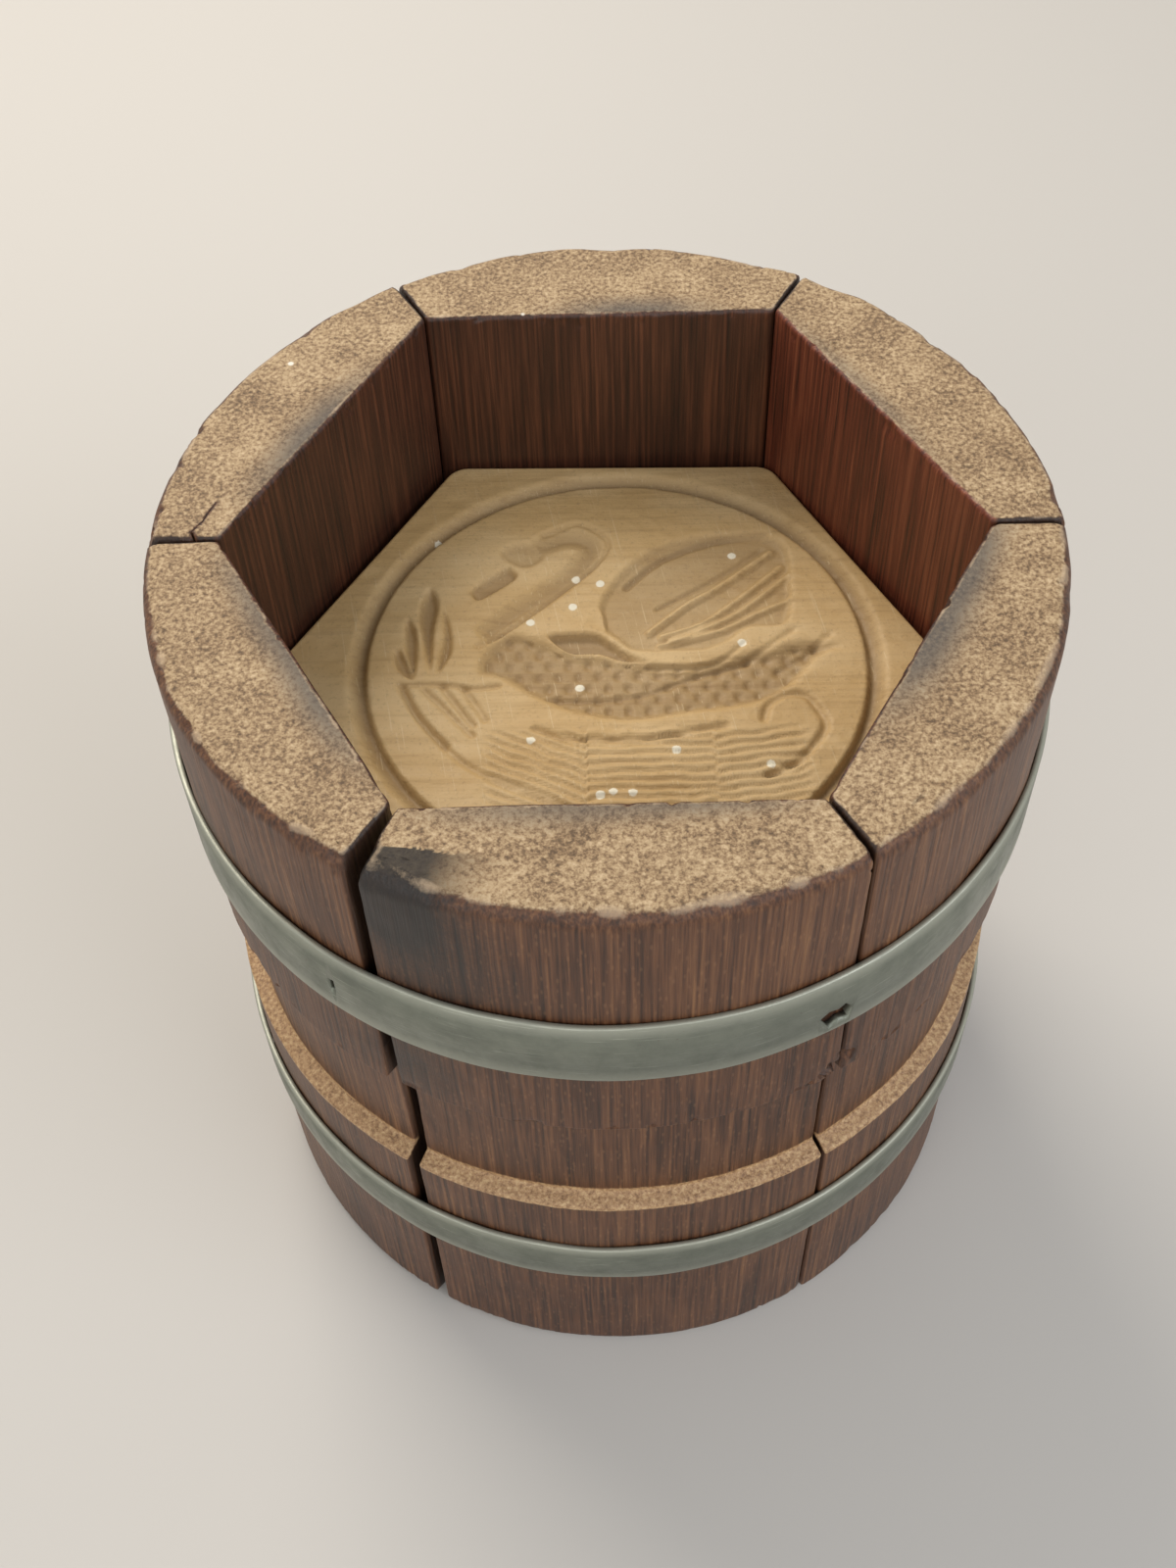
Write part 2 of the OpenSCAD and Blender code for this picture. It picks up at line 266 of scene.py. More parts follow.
def stave_section(gaps_low, gaps_high, wear):
    """The outline of a stave as points, the share of the way in along a joint (0 outside,
    1 inside), and the place across the stave (-1 to 1). The outline is an arc, a radial
    side, a flat and the other side, averaged over a short window that rounds its corners
    as wear does."""
    ease = np.linspace(-1, 1, ARC_COLUMNS + 1)
    across = 0.55 * ease + 0.45 * np.sin(ease * np.pi / 2)
    corner = HOLLOW_APOTHEM / math.cos(HALF_STAVE)

    def side(gaps, radius, sign):
        back = joint_side(gaps, radius)
        x = radius * math.cos(HALF_STAVE) + back * math.sin(HALF_STAVE)
        y = radius * math.sin(HALF_STAVE) - back * math.cos(HALF_STAVE)
        return np.stack([x, sign * y], -1)

    limits = [math.atan2(*side(g, MOULD_R, 1)[::-1]) for g in (gaps_low, gaps_high)]
    angle = np.interp(across, [-1, 1], [-limits[0], limits[1]])
    arc = MOULD_R * np.stack([np.cos(angle), np.sin(angle)], -1)
    inner_radii = [corner - joint_side(g, corner) * math.tan(HALF_STAVE) for g in (gaps_low, gaps_high)]
    inward = np.linspace(0, 1, JOINT_COLUMNS + 1)
    high = side(gaps_high, MOULD_R + (inner_radii[1] - MOULD_R) * inward, 1)
    low = side(gaps_low, MOULD_R + (inner_radii[0] - MOULD_R) * inward[::-1], -1)
    flat_y = np.interp(across[::-1], [-1, 1], [low[0, 1], high[-1, 1]])
    flat = np.stack([np.full_like(flat_y, HOLLOW_APOTHEM), flat_y], -1)
    outline = np.concatenate([arc[:-1], high[:-1], flat[:-1], low[:-1]])
    share = np.concatenate([np.zeros(ARC_COLUMNS), inward[:-1], np.ones(ARC_COLUMNS), inward[:0:-1]])
    place = np.concatenate([across[:-1], np.ones(JOINT_COLUMNS), across[:0:-1], -np.ones(JOINT_COLUMNS)])

    ring = np.concatenate([outline, outline[:1]])
    length = np.concatenate([[0], np.cumsum(np.linalg.norm(np.diff(ring, axis=0), axis=1))])
    fine = np.linspace(0, length[-1], 4096, endpoint=False)
    wave = np.fft.fftfreq(4096, fine[1])
    blur = np.exp(-2 * (np.pi * wave * wear) ** 2)
    worn = [np.fft.ifft(np.fft.fft(np.interp(fine, length, ring[:, k])) * blur).real for k in (0, 1)]
    rounded = np.stack([np.interp(length[:-1], fine, w, period=length[-1]) for w in worn], -1)
    return rounded, share, place


def outer_radius(z):
    """The turned outside: two bands, and between them the waist with its sloping ledge."""
    waist = smooth(WAIST_FLOOR_Z - LEDGE_H, WAIST_FLOOR_Z, z) * (1 - smooth(LIP_Z - 0.25, LIP_Z + 0.15, z))
    return MOULD_R - WAIST_DEPTH * waist


def inner_apothem(z):
    """The flat inside, stepped in where the stamp rests."""
    return FOOT_APOTHEM + SHOULDER_W * smooth(SHOULDER_Z - 0.35, SHOULDER_Z + 0.05, z)


EDGE_ZONE = 6.0
CAP_ROWS = 13


def stave_rows():
    """Heights of the rows up a stave's wall, closer where the outside or inside steps."""
    return np.concatenate([
        np.linspace(EDGE_ZONE, 57.6, 38),
        np.linspace(58.0, 60.2, 10),
        np.linspace(61.0, 86.0, 24),
        LIP_Z + np.array([-0.7, -0.45, -0.3, -0.2, -0.1, 0.0, 0.1, 0.2, 0.35, 0.6, 0.9]),
        np.linspace(88.8, SHOULDER_Z - 0.8, 8),
        SHOULDER_Z + np.array([-0.5, -0.35, -0.25, -0.15, -0.05, 0.05, 0.15, 0.4, 0.8]),
        np.linspace(SHOULDER_Z + 1.6, MOULD_H - EDGE_ZONE, 48),
    ])


def edge_path(radius, steps):
    """The path over an edge, as inset and height below the end, for each column's radius:
    straight up to where the rounding starts, then a quarter circle."""
    straight = EDGE_ZONE - radius
    run = np.linspace(0, 1, steps)[:, None] ** 0.8 * (straight + radius * np.pi / 2)
    turn = np.clip((run - straight) / radius, 0, np.pi / 2)
    inset = radius * (1 - np.cos(turn))
    drop = EDGE_ZONE - np.minimum(run, straight) - radius * np.sin(turn)
    return inset, drop


# Extra rounding of the rim's outer edge, as stave, place across it, its spread and amount
WORN_CORNERS = [
    ("stave_front", -1.0, 0.35, 2.0),
    ("stave_front", 0.4, 0.5, 0.5),
    ("stave_front_left", 0.9, 0.15, 0.6),
    ("stave_back_left", 0.95, 0.12, 0.9),
]

# How much lower than the rim each stave's end is, where it has shrunk or worn
STAVE_DROP = {"stave_front": 0.35, "stave_back": 0.15, "stave_front_right": 0.2}

# Pieces broken out, as stave, angle round the mould, height, radius and depth
CHIPS = [
    ("stave_front", -60.8, 89.2, 2.3, 2.0),
    ("stave_front_right", -59.4, 91.0, 1.6, 1.2),
    ("stave_front", -61.0, 144.4, 1.3, 0.5),
    ("stave_front_left", -121.5, 143.6, 1.7, 0.6),
    ("stave_back_left", 178.6, 144.0, 1.5, 0.7),
    ("stave_back_right", 31.0, 145.0, 1.5, 0.4),
    ("stave_back", 96.0, 87.2, 1.8, 0.7),
    ("stave_back_right", 44.0, 87.4, 2.4, 0.8),
    ("stave_back_left", 141.0, 0.6, 2.2, 0.9),
    ("stave_front_right", -22.0, 0.5, 2.4, 0.8),
]

# Black and grey stains, as stave, angle, height, reach round and up, and strength. The
# ones at the rim sit on its inner arris.
STAINS = [
    ("stave_front", -117.0, 141.0, 9.0, 9.0, 1.3),
    ("stave_front", -113.0, 128.0, 13.0, 16.0, 0.62),
    ("stave_front", -117.0, 96.0, 7.0, 11.0, 0.8),
    ("stave_front_left", -124.0, 95.0, 6.0, 8.0, 0.45),
    ("stave_front_right", -50.0, 97.0, 9.0, 7.0, 0.3),
    ("stave_back_left", 134.0, 60.0, 10.0, 20.0, 0.4),
    ("stave_back_right", 20.0, 130.0, 9.0, 9.0, 0.35),
]

# Grey of the rim's end grain along the inner arris, as stave, place across, spread,
# reach outwards in millimetres and strength
RIM_GREYS = [
    ("stave_front", -0.3, 0.7, 4.5, 0.9),
    ("stave_front", 0.55, 0.5, 3.0, 0.7),
    ("stave_front_right", 0.1, 0.55, 5.5, 1.3),
    ("stave_front_right", 0.8, 0.4, 4.0, 0.9),
    ("stave_back_right", 0.2, 0.8, 3.5, 0.8),
    ("stave_back", -0.2, 0.5, 4.5, 1.1),
    ("stave_back_left", 0.1, 0.6, 5.0, 1.2),
    ("stave_front_left", -0.5, 0.5, 4.0, 0.9),
    ("stave_front_left", 0.3, 0.5, 4.5, 1.1),
]


def rim_rounding(name, share, place, seed):
    """The radius of the rim's edge in each column: large outside, small inside and at the
    joints, uneven, and larger still at the worn corners."""
    spot = np.stack([place * 30, share * 12], -1)
    radius = np.where(share == 0, bpy.context.scene.butter_mould.rim_round, np.where(share == 1, 0.75, 0.7)) * (1 + 0.12 * drift(spot, 14, seed))
    for stave, centre, spread, amount in WORN_CORNERS:
        if stave == name:
            radius = radius + amount * np.exp(-(((place - centre) / spread) ** 2)) * (share < 0.5)
    kernel = np.hanning(7) / np.hanning(7).sum()
    ring = np.concatenate([radius[-3:], radius, radius[:3]])
    return np.clip(np.convolve(ring, kernel, "valid"), 0.4, EDGE_ZONE - 1)


def stave_surface(name, centre, gaps_low, gaps_high, seed):
    """A stave as one closed grid. Its rows run from the middle of the lower end, over its
    edge, up the wall, over the rim's edge and in to the middle of the upper end. A row's
    points are the section's outline, scaled to the turned radius outside and to the flat's
    distance inside. At the ends they move in to a spine half way between the two."""
    outline, share, place = stave_section(gaps_low, gaps_high, bpy.context.scene.butter_mould.corner_wear)
    wall = stave_rows()
    top_inset, top_drop = edge_path(rim_rounding(name, share, place, seed), 14)
    low_inset, low_drop = edge_path(np.where(share == 0, 1.6, 0.9) * np.ones_like(share), 9)
    columns = len(share)
    fade = np.linspace(0, 1, CAP_ROWS)[1:, None] * np.ones(columns)
    top_z = MOULD_H - STAVE_DROP.get(name, 0)
    height = np.concatenate([
        0 * fade[::-1], low_drop[::-1], wall[1:-1, None] * np.ones(columns), top_z - top_drop, top_z + 0 * fade])
    height = np.where(height > MOULD_H - EDGE_ZONE, height, np.minimum(height, MOULD_H - EDGE_ZONE))
    zero = np.zeros((len(wall) - 2, columns))
    inset = np.concatenate([
        low_inset[-1] + 0 * fade, low_inset[::-1], zero, top_inset, top_inset[-1] + 0 * fade])
    spread = np.concatenate([fade[::-1], 0 * low_inset, zero, 0 * top_inset, fade])

    scale_out = outer_radius(height) / MOULD_R
    scale_in = inner_apothem(height) / HOLLOW_APOTHEM
    scale = scale_out * (1 - share) + scale_in * share
    x, y = outline[:, 0] * scale, outline[:, 1] * scale
    spine_y = 26.0 * place * np.ones_like(x)
    outside_x = np.sqrt(MOULD_R**2 - spine_y**2) * scale_out
    spine_x = (outside_x + inner_apothem(height)) / 2
    reach = np.hypot(spine_x - x, spine_y - y)
    move = np.clip(inset / np.maximum(reach, 1e-6), 0, 1)
    move = move + (1 - move) * spread
    x = x + (spine_x - x) * move
    y = y + (spine_y - y) * move

    turn = math.radians(centre)
    points = np.stack([x * math.cos(turn) - y * math.sin(turn), x * math.sin(turn) + y * math.cos(turn), height], -1)
    return wear_stave(name, points, share, place, spread, inset, seed)


def wear_stave(name, points, share, place, spread, inset, seed):
    """Hollows a stave's surface by wear: slow waves, nicks along its edges, and the chips
    listed for it. Every move is inwards, so nothing stands proud under the hoops."""
    middle = points.reshape(-1, 3).mean(0) * [1, 1, 0]
    radial = points * [1, 1, 0]
    radial = radial / np.maximum(np.linalg.norm(radial, axis=-1, keepdims=True), 1e-9)
    z = points[..., 2]
    outside = (1 - share) ** 2 * (spread == 0)
    wave = 0.07 * (drift(points, 34, seed) - 1.6) + 0.02 * (drift(points, 6, seed + 1) - 1.5)
    points = points + radial * np.minimum(wave * outside, 0)[..., None]

    near_top = np.exp(-(((MOULD_H - z) / 2.5) ** 2)) * (spread < 0.3)
    near_lip = np.exp(-(((z - LIP_Z - 0.6) / 0.9) ** 2)) * outside
    near_base = np.exp(-((z / 1.8) ** 2)) * (spread < 0.3)
    rough = np.maximum(drift(points, 2.6, seed + 2, 30) - 1.0, 0) + np.maximum(drift(points, 7, seed + 3) - 1.1, 0)
    amount = rough * (0.28 * near_top + 0.35 * near_lip + 0.3 * near_base)
    points = points - (radial * np.where(share < 0.5, 1, -1)[..., None]) * amount[..., None]
    points[..., 2] -= 0.5 * amount * near_top

    core = middle + [0, 0, 0]
    for stave, angle, height, size, depth in CHIPS:
        if stave == name:
            a = math.radians(angle)
            spot = np.array([MOULD_R * math.cos(a), MOULD_R * math.sin(a), height])
            away = np.linalg.norm(points - spot, axis=-1) / size * (1 + 0.2 * drift(points, 2.2, seed + 4))
            push = depth * np.clip(1.15 - away**2, 0, 1)
            aim = core + [0, 0, height] - spot
            points = points + push[..., None] * aim / np.linalg.norm(aim)
    return points, share, place, spread, inset


def stave_masks(name, points, share, place, spread, inset, seed):
    """Where a stave shows end grain, its inside, a joint's face, the raw ledge, a worn
    edge, a stain and the rim's grey, each from 0 to 1 or a little more."""
    z = points[..., 2]
    full = np.ones_like(z)
    above = z > MOULD_H / 2
    deepest = np.maximum(inset.max(0), 1e-3)
    end = np.where(spread > 0, 1.0, smooth(0.3, 0.75, inset / deepest))
    ledge = smooth(WAIST_FLOOR_Z - LEDGE_H - 0.9, WAIST_FLOOR_Z - LEDGE_H, z) * (
        1 - smooth(WAIST_FLOOR_Z + 0.1, WAIST_FLOOR_Z + 0.9, z)) * (share == 0)
    shade = drift(points, 5, seed + 5) * 0.35
    rim_line = np.exp(-(((inset / deepest - 0.55) / 0.4) ** 2)) * (spread == 0) * above
    worn = rim_line * (1 + shade)
    lip_line = np.exp(-(((z - LIP_Z - 0.35) / 0.35) ** 2)) * (share == 0) * 0.4
    foot_line = np.exp(-(((inset / deepest - 0.5) / 0.4) ** 2)) * (spread == 0) * (~above) * 0.5
    corner = np.exp(-(((np.abs(place) - 1) / 0.03) ** 2)) * (share < 0.08) * 0.3 * full
    worn = np.maximum.reduce([worn, lip_line, foot_line, corner * (1 + 2 * shade)])

    angle = np.degrees(np.arctan2(points[..., 1], points[..., 0]))
    stain = np.zeros_like(z)
    for stave, at, height, around, up, strength in STAINS:
        if stave == name:
            off = (angle - at + 180) % 360 - 180
            spot = (off * MOULD_R * math.pi / 180 / around) ** 2 + ((z - height) / up) ** 2
            stain = stain + strength * np.exp(-spot) * (share < 0.4)
    grey = np.zeros_like(z)
    inward = np.hypot(points[..., 0], points[..., 1]) * np.cos(
        np.radians((angle - STAVES[name][0] + 180) % 360 - 180)) - HOLLOW_APOTHEM
    for stave, at, wide, reach, strength in RIM_GREYS:
        if stave == name:
            across = np.exp(-(((place - at) / wide) ** 2))
            grey = grey + strength * across * np.exp(-((inward / reach) ** 2)) * end * above
    return {
        "end": end,
        "inside": (share == 1) * full,
        "joint": ((share > 0.04) & (share < 1)) * full,
        "ledge": ledge,
        "worn": worn,
        "stain": stain,
        "grey": grey,
    }


# The crack in the rim of the back left stave, as points on the rim in millimetres
CRACK = [(-57.9, 7.6), (-58.7, 5.9), (-59.6, 3.6), (-60.4, 2.4), (-61.0, 1.6), (-60.3, 0.2), (-59.9, -1.2)]
CRACK_WIDTHS = [0.05, 0.16, 0.22, 0.24, 0.42, 0.62, 0.6]
CRACK_DEPTH = 5.0


def crack_blade():
    """A thin wedge along the crack: at each point a slit of that width, from above the rim
    down to a sharp bottom edge."""
    path = np.array(CRACK)
    along = np.gradient(path, axis=0)
    across = np.stack([-along[:, 1], along[:, 0]], -1) / np.linalg.norm(along, axis=1)[:, None]
    half = np.array(CRACK_WIDTHS)[:, None] / 2
    top = MOULD_H + 1
    ring = np.stack([
        np.c_[path + across * half, np.full(len(path), top)],
        np.c_[path - across * half, np.full(len(path), top)],
        np.c_[path - across * half * 0.15, np.full(len(path), MOULD_H - CRACK_DEPTH)],
        np.c_[path + across * half * 0.15, np.full(len(path), MOULD_H - CRACK_DEPTH)]], 1)
    points = ring.reshape(-1, 3)
    last = len(path) - 1
    quads = np.concatenate([closed_grid(len(path), 4), [[3, 2, 1, 0]], [[4 * last + k for k in range(4)]]])
    return make_piece("crack_blade", points, quads)


def build_stave(name):
    centre, gaps_low, gaps_high, seed = STAVES[name]
    surface = stave_surface(name, centre, gaps_low, gaps_high, seed)
    masks = stave_masks(name, *surface, seed)
    points = surface[0]
    rows, columns = points.shape[:2]
    piece = make_piece(name + "_worn", points.reshape(-1, 3), closed_grid(rows, columns), masks)
    if name == "stave_back_left":
        cut_out(piece, [crack_blade()])
    dress(piece, stave_material(name), "mould_body", "stave_wood", name)


# The inside of the back right stave is lighter, redder and more flecked than the others: painted light, for the inside
# wall that the lamps light most
LIT_INNER_TONES = {"stave_back_right": ("#2A150D", "#6A3422", "#94573A")}
PLAIN_INNER = ("#22140D", "#452719", "#6F432C")


def stave_material(name):
    """Oiled beech a century old, turned outside and planed inside. It gives brown, fine
    upright grain, a paler speckled end grain that milk has greyed, a dark and glossier
    inside, and pale worn edges."""
    material, tree, mm = start_material("oiled_beech_" + name)
    seed = STAVES[name][3]
    mm = add(tree, "ShaderNodeVectorMath", {0: mm, 1: (seed * 37.0, seed * 11.0, 0)}, operation="ADD")
    mask = {
        key: add(tree, "ShaderNodeAttribute", out="Fac", attribute_name=key)
        for key in ("end", "inside", "joint", "ledge", "worn", "stain", "grey")
    }
    # Fibres 0.6 mm across and 28 mm long, and slow changes of tone 20 mm across
    fibre = grown(tree, mm, 0.6, 28, 4.0)
    tone = grown(tree, mm, 20, 60)
    # End-grain specks of 0.7 mm and clouds of 9 mm
    speck = grown(tree, mm, 0.7, 0.7, 4.0, 0.7)
    cloud = grown(tree, mm, 9, 9, 3.0)
    # Ray flecks 0.9 mm by 2.6 mm
    cells = add(tree, "ShaderNodeVectorMath", {0: mm, 1: (1.1, 1.1, 0.38)}, operation="MULTIPLY")
    fleck = add(tree, "ShaderNodeTexVoronoi", {"Vector": cells, "Scale": 1.0}, out="Distance")
    # One speck of lime 1 mm across in each 22 mm or so
    lime = add(tree, "ShaderNodeTexVoronoi", {"Vector": mm, "Scale": 0.045}, out="Distance")

    streak = add(tree, "ShaderNodeMath", {0: tone, 1: 0.35, 2: fibre}, operation="MULTIPLY_ADD")
    side = add(tree, "ShaderNodeValToRGB", {0: streak}, ramp=[
        (0.42, "#22140C"), (0.6, "#472B1A"), (0.75, "#613E27"), (0.95, "#815A39")])
    # The back right stave's lighter inner tones are painted light
    dark, middle, light = LIT_INNER_TONES.get(name, PLAIN_INNER)
    inner = add(tree, "ShaderNodeValToRGB", {0: streak}, ramp=[(0.45, dark), (0.68, middle), (0.95, light)])
    end_tone = add(tree, "ShaderNodeMath", {0: cloud, 1: 0.35, 2: speck}, operation="MULTIPLY_ADD")
    end = add(tree, "ShaderNodeValToRGB", {0: end_tone}, ramp=[
        (0.5, "#5E4A35"), (0.62, "#8A7052"), (0.72, "#AC926F"), (0.9, "#D0B894")])
    ledge = add(tree, "ShaderNodeValToRGB", {0: speck}, ramp=[
        (0.32, "#7A5B3E"), (0.5, "#AE8A63"), (0.7, "#D2B488")])
    ragged = {
        key: add(tree, "ShaderNodeMath", {0: speck, 1: amount, 2: mask[key]}, operation="MULTIPLY_ADD")
        for key, amount in (("end", 0.5), ("ledge", 0.5), ("worn", 0.9), ("stain", 0.8), ("grey", 1.0))
    }
    colour = layered(tree, side, [
        (fleck, 0.3, 0.12, 0.2, "#9C7350"),
        (mask["inside"], 0.0, 1.0, 1.0, inner),
        (mask["joint"], 0.0, 1.0, 0.8, "#1E130D"),
        (ragged["ledge"], 0.5, 0.95, 1.0, ledge),
        (ragged["end"], 0.5, 1.0, 1.0, end),
        (ragged["stain"], 0.55, 1.3, 0.92, "#161413"),
        (ragged["grey"], 0.75, 1.6, 0.75, "#4A4A4A"),
        (ragged["worn"], 1.3, 1.8, 0.45, "#C9B193"),
        (lime, 0.026, 0.018, 1.0, "#E9E4D6"),
    ])
    rough = add(tree, "ShaderNodeMapRange", {0: mask["end"], 3: 0.48, 4: 0.72})
    finish_material(tree, colour, rough, streak, 0.3, IOR=1.5)
    return material


class MOULD_OT_staves(bpy.types.Operator):
    """Models the six worn staves"""

    bl_idname = "mould.staves"
    bl_label = "Staves"

    def execute(self, context):
        for name in STAVES:
            build_stave(name)
        return {"FINISHED"}


# The nail slot and the torn nail hole, by angle, height on the hoop and outline
NAIL_SLOT = (-126.0, 6.2, [(-0.55, -1.5), (0.55, -1.5), (0.55, 1.5), (-0.55, 1.5)])
TORN_HOLE = (-63.0, 3.8, [
    (-2.6, 1.2), (-1.2, 2.4), (0.4, 2.0), (1.5, 2.7), (2.8, 0.9),
    (1.9, -0.6), (2.3, -1.7), (0.6, -1.2), (-0.9, -2.3), (-1.7, -0.7)])


def hole_punch(angle, height, outline):
    """A straight prism on an outline, given round the mould and up, through a hoop."""
    turn = math.radians(angle)
    round_, up = np.array(outline).T
    ring = [np.stack([
        radius * math.cos(turn) - round_ * math.sin(turn),
        radius * math.sin(turn) + round_ * math.cos(turn), height + up], -1) for radius in (64.0, 72.0)]
    count = len(outline)
    middles = [np.repeat(r.mean(0, keepdims=True), count, 0) for r in ring]
    points = np.concatenate([middles[0], ring[0], ring[1], middles[1]])
    return make_piece("hole_punch", points, closed_grid(4, count))


def sheet_strip(start, turn, inner, low, high, dent, seed, steps):
    """Sheet iron bent round the mould: the outline of its section, a flat ring of corners
    rounded by 0.2 mm, is carried round a circle from one angle through another. Slow waves
    dent it. The ends run in to the section's middle."""
    soft = 0.2
    corners = [(inner + soft, low), (inner + SHEET - soft, low), (inner + SHEET, low + soft),
        (inner + SHEET, (low + high) / 2), (inner + SHEET, high - soft), (inner + SHEET - soft, high),
        (inner + soft, high), (inner, high - soft), (inner, (low + high) / 2), (inner, low + soft)]
    section = np.array(corners)
    angle = np.radians(np.linspace(start, start + turn, steps))[:, None]
    radius = section[:, 0] * np.ones_like(angle)
    height = section[:, 1] * np.ones_like(angle)
    if turn < 360:
        shut = np.concatenate([[0], np.ones(steps - 2), [0]])[:, None]
        angle[0], angle[-1] = angle[1], angle[-2]
        radius = section[:, 0].mean() + (radius - section[:, 0].mean()) * shut
        height = section[:, 1].mean() + (height - section[:, 1].mean()) * shut
    points = np.stack([radius * np.cos(angle), radius * np.sin(angle), height], -1)
    wave = dent * drift(points, 22, seed)
    points[..., 2] += wave
    # A mask along both edges of the sheet, which the iron's colour paints pale: a painted highlight, partly standing
    # for pale residue
    edge = np.exp(-((np.minimum(height - low, high - height) / 0.5) ** 2))
    return points, edge, np.degrees(angle) * MOULD_R * math.pi / 180 + 0 * radius


def build_hoop(name, dent, colour):
    low, high = (corner.z / MM for corner in hoop_boxes[name])
    seed = 31 if name == "hoop_upper" else 41
    lap = LAP_LENGTH / (MOULD_R + 0.0) * 180 / math.pi
    strips = [
        sheet_strip(-180, 360, MOULD_R, low, high, dent, seed, 481),
        sheet_strip(LAP_ANGLE, lap, MOULD_R + SHEET - 0.15, low + 0.1, high - 0.1, dent, seed, 24)]
    points = np.concatenate([s[0].reshape(-1, 3) for s in strips])
    first = strips[0][0].shape[0] * 10
    quads = [outward(points, closed_grid(s[0].shape[0], 10) + k * first) for k, s in enumerate(strips)]
    masks = {
        "edge": np.concatenate([s[1].ravel() for s in strips]),
        "round": np.concatenate([s[2].ravel() for s in strips])}
    piece = make_piece(name + "_sheet", points, np.concatenate(quads), masks)
    if name == "hoop_upper":
        cut_out(piece, [hole_punch(a, low + rise, shape) for a, rise, shape in (NAIL_SLOT, TORN_HOLE)])
    dress(piece, iron_material(name, colour), "mould_body", "hoop_iron", name)


def iron_material(name, colour):
    """Sheet iron, rolled and dip tinned, dulled to grey green. It gives a soft metal gloss,
    darker clouds, brown freckles of rust, fine scratches along the hoop, and a painted highlight along its edges that
    partly stands for pale residue there."""
    material, tree, mm = start_material("tinned_iron_" + name)
    edge = add(tree, "ShaderNodeAttribute", out="Fac", attribute_name="edge")
    around = add(tree, "ShaderNodeAttribute", out="Fac", attribute_name="round")
    height = add(tree, "ShaderNodeSeparateXYZ", {0: mm}, out=2)
    flat = add(tree, "ShaderNodeCombineXYZ", {0: height, 1: 0.0, 2: around})
    cloud = grown(tree, mm, 7, 7, 5.0, 0.65)
    grit = grown(tree, mm, 0.8, 0.8)
    scratch = grown(tree, flat, 0.35, 9, 2.0)
    shade = layered(tree, tuple(colour) + (1.0,), [
        (cloud, 0.42, 0.68, 0.45, "#5C5F56"),
        (scratch, 0.62, 0.72, 0.6, "#B4B8AA"),
        (grit, 0.68, 0.78, 0.6, "#5B4230"),
        # Pale edges: a painted highlight, partly standing for pale residue along them
        (edge, 0.5, 1.0, 0.6, "#C2C3B4"),
    ])
    rough = add(tree, "ShaderNodeMapRange", {0: cloud, 1: 0.3, 2: 0.7, 3: 0.36, 4: 0.6})
    relief = add(tree, "ShaderNodeMath", {0: scratch, 1: 0.4, 2: cloud}, operation="MULTIPLY_ADD")
    finish_material(tree, shade, rough, relief, 0.15, Metallic=0.6)
    return material


class MOULD_OT_hoops(bpy.types.Operator):
    """Models the two sheet-iron hoops with their laps, and finishes their rivets and tacks"""

    bl_idname = "mould.hoops"
    bl_label = "Hoops"

    def execute(self, context):
        settings = context.scene.butter_mould
        for name in hoop_boxes:
            build_hoop(name, settings.hoop_dent, settings.iron_colour)
        fastener = iron_material("fasteners", settings.iron_colour)
        for hoop in hoop_boxes:
            for kind in ("_rivets", "_tacks"):
                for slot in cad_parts[hoop + kind].material_slots:
                    slot.material = fastener
        return {"FINISHED"}


# The carving, in millimetres from the stamp's middle. Sunk shapes have a depth, as a share
# of the carving's depth, the width of their sloping edge, and an outline.
SUNK_SHAPES = [
    (0.75, 2.6, [(-20, 4), (-19.5, 1), (-16, 0), (-10, -4.5), (-4, -7.5), (5, -9.5), (15, -8), (25, -6.5),
        (31, -3), (36, 3), (40, 6), (34, 8), (28, 6.5), (22, 5), (14, 3.2), (6, 4.5), (0, 6), (-5, 7),
        (-9, 9.5), (-14, 11), (-18, 8.5)]),
    (0.6, 1.6, [(0.5, 11), (0, 16), (1.5, 20), (4.5, 24.5), (8, 28), (12, 30.5), (18, 32), (25, 32), (31, 31),
        (33, 27), (33, 20), (31.5, 11), (25, 10), (22, 7.5), (18, 5.5), (13, 5.2), (6, 5.5), (3, 8)]),
    (1.0, 1.3, [(-8.5, 9.5), (-5, 10.3), (0, 10), (3, 7.5), (6, 5), (9, 3), (4, 3.5), (0, 5), (-5, 5.5)]),
    (0.5, 1.6, [(-16.8, 28), (-15.5, 30.5), (-12.5, 31.5), (-9, 30.5), (-8, 28), (-9.5, 25.5), (-13, 24.6)]),
    (0.8, 1.0, [(-15, 25.5), (-13, 23), (-16, 20), (-19.8, 17.5), (-21.3, 19.5), (-20, 21.5), (-17, 24)]),
    (0.9, 1.2, [(-27, 0.5), (-29.5, 12), (-29.7, 17), (-28.3, 20.8), (-26.5, 19.5), (-26, 16), (-26.5, 12)]),
    (0.8, 1.0, [(-26.5, 1), (-24, 5), (-23.5, 8), (-24, 12), (-24.8, 14.5), (-25.8, 15.5), (-25.5, 10)]),
    (0.8, 1.0, [(-29.2, 3), (-29.3, 10), (-30.3, 13), (-31.5, 14), (-32, 12), (-31.5, 6), (-30, 1)]),
    (0.8, 1.0, [(-29.8, 0.5), (-30.2, 4), (-31.5, 6.5), (-33, 7.5), (-33.5, 5.5), (-32.5, 2.5)]),
]

